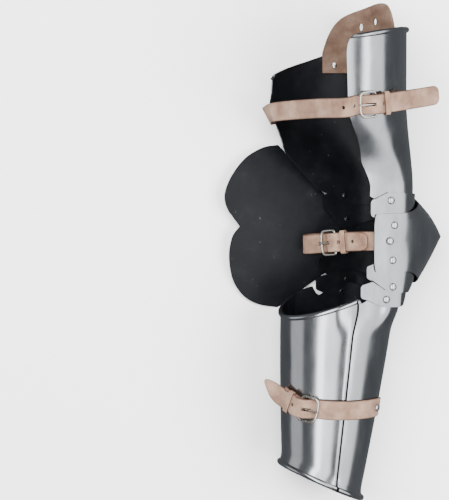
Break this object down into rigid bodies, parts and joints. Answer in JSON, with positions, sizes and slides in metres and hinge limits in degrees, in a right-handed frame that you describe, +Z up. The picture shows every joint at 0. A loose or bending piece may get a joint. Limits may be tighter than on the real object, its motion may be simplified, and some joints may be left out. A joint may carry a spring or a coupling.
{
  "type": "arm harness",
  "caption": "Steel arm defence with open upper cannon, winged elbow cup with sliding lames, closed lower cannon, leather arming tab and buckled leather straps.",
  "frame": {"origin": "middle of the footprint, on the surface that it lies on", "axes": "+Z up, +Y along the arm towards the shoulder, +X towards the point of the elbow; the harness lies on its outer side"},
  "size_m": [0.2286, 0.5198, 0.1583],
  "materials": {
    "polished_steel": "polished outside, blue-black satin inside",
    "strap_leather": "natural vegetable-tanned strap leather with darker cut edges",
    "tab_leather": "rough brown suede",
    "buckle_nickel": "nickel-plated wire",
    "rivet_steel": "polished domed heads"
  },
  "bodies": {
    "couter": {"couter": "polished_steel", "rivet_upper_lame_inner": "rivet_steel", "rivet_upper_lame_outer": "rivet_steel", "rivet_lower_lame_a_inner": "rivet_steel", "rivet_lower_lame_a_outer": "rivet_steel", "rivet_elbow_strap": "rivet_steel", "rivet_elbow_buckle": "rivet_steel", "elbow_strap_tongue": "strap_leather", "elbow_strap_buckle_strap": "strap_leather", "elbow_strap_buckle": "buckle_nickel", "elbow_strap_prong": "buckle_nickel", "elbow_strap_keeper": "strap_leather"},
    "upper_lame": {"upper_lame": "polished_steel", "rivet_upper_cannon_inner": "rivet_steel", "rivet_upper_cannon_outer": "rivet_steel"},
    "upper_cannon": {"upper_cannon": "polished_steel", "arming_tab": "tab_leather", "rivet_tab_1": "rivet_steel", "rivet_tab_2": "rivet_steel", "rivet_tab_3": "rivet_steel", "rivet_upper_strap": "rivet_steel", "rivet_upper_buckle": "rivet_steel", "upper_strap_tongue": "strap_leather", "upper_strap_buckle_strap": "strap_leather", "upper_strap_buckle": "buckle_nickel", "upper_strap_prong": "buckle_nickel", "upper_strap_keeper": "strap_leather"},
    "lower_lame_a": {"lower_lame_a": "polished_steel", "rivet_lower_lame_b_inner": "rivet_steel", "rivet_lower_lame_b_outer": "rivet_steel"},
    "lower_lame_b": {"lower_lame_b": "polished_steel", "rivet_lower_cannon_inner": "rivet_steel", "rivet_lower_cannon_outer": "rivet_steel"},
    "lower_cannon": {"lower_cannon_back": "polished_steel", "lower_cannon_front": "polished_steel", "rivet_lap_1": "rivet_steel", "rivet_lap_2": "rivet_steel", "rivet_lap_3": "rivet_steel", "rivet_lower_strap": "rivet_steel", "rivet_lower_buckle": "rivet_steel", "lower_strap_tongue": "strap_leather", "lower_strap_buckle_strap": "strap_leather", "lower_strap_buckle": "buckle_nickel", "lower_strap_prong": "buckle_nickel", "lower_strap_keeper": "strap_leather"}
  },
  "joints": [
    {"name": "upper_lame_pivot", "type": "hinge", "parent": "couter", "child": "upper_lame", "pos_m": [0.03205, 0.03157, 0.05561], "axis": [0.2605, -0.0589, 0.9637], "range_deg": [-2, 12]},
    {"name": "upper_cannon_pivot", "type": "hinge", "parent": "upper_lame", "child": "upper_cannon", "pos_m": [0.02887, 0.05707, 0.05803], "axis": [0.2605, -0.0589, 0.9637], "range_deg": [-2, 12]},
    {"name": "lower_lame_a_pivot", "type": "hinge", "parent": "couter", "child": "lower_lame_a", "pos_m": [0.03032, -0.00459, 0.05387], "axis": [-0.2605, 0.0589, -0.9637], "range_deg": [-2, 10]},
    {"name": "lower_lame_b_pivot", "type": "hinge", "parent": "lower_lame_a", "child": "lower_lame_b", "pos_m": [0.03147, -0.03232, 0.05186], "axis": [-0.2605, 0.0589, -0.9637], "range_deg": [-2, 10]},
    {"name": "lower_cannon_pivot", "type": "hinge", "parent": "lower_lame_b", "child": "lower_cannon", "pos_m": [0.025, -0.0454, 0.05281], "axis": [-0.2605, 0.0589, -0.9637], "range_deg": [-2, 10]}
  ]
}
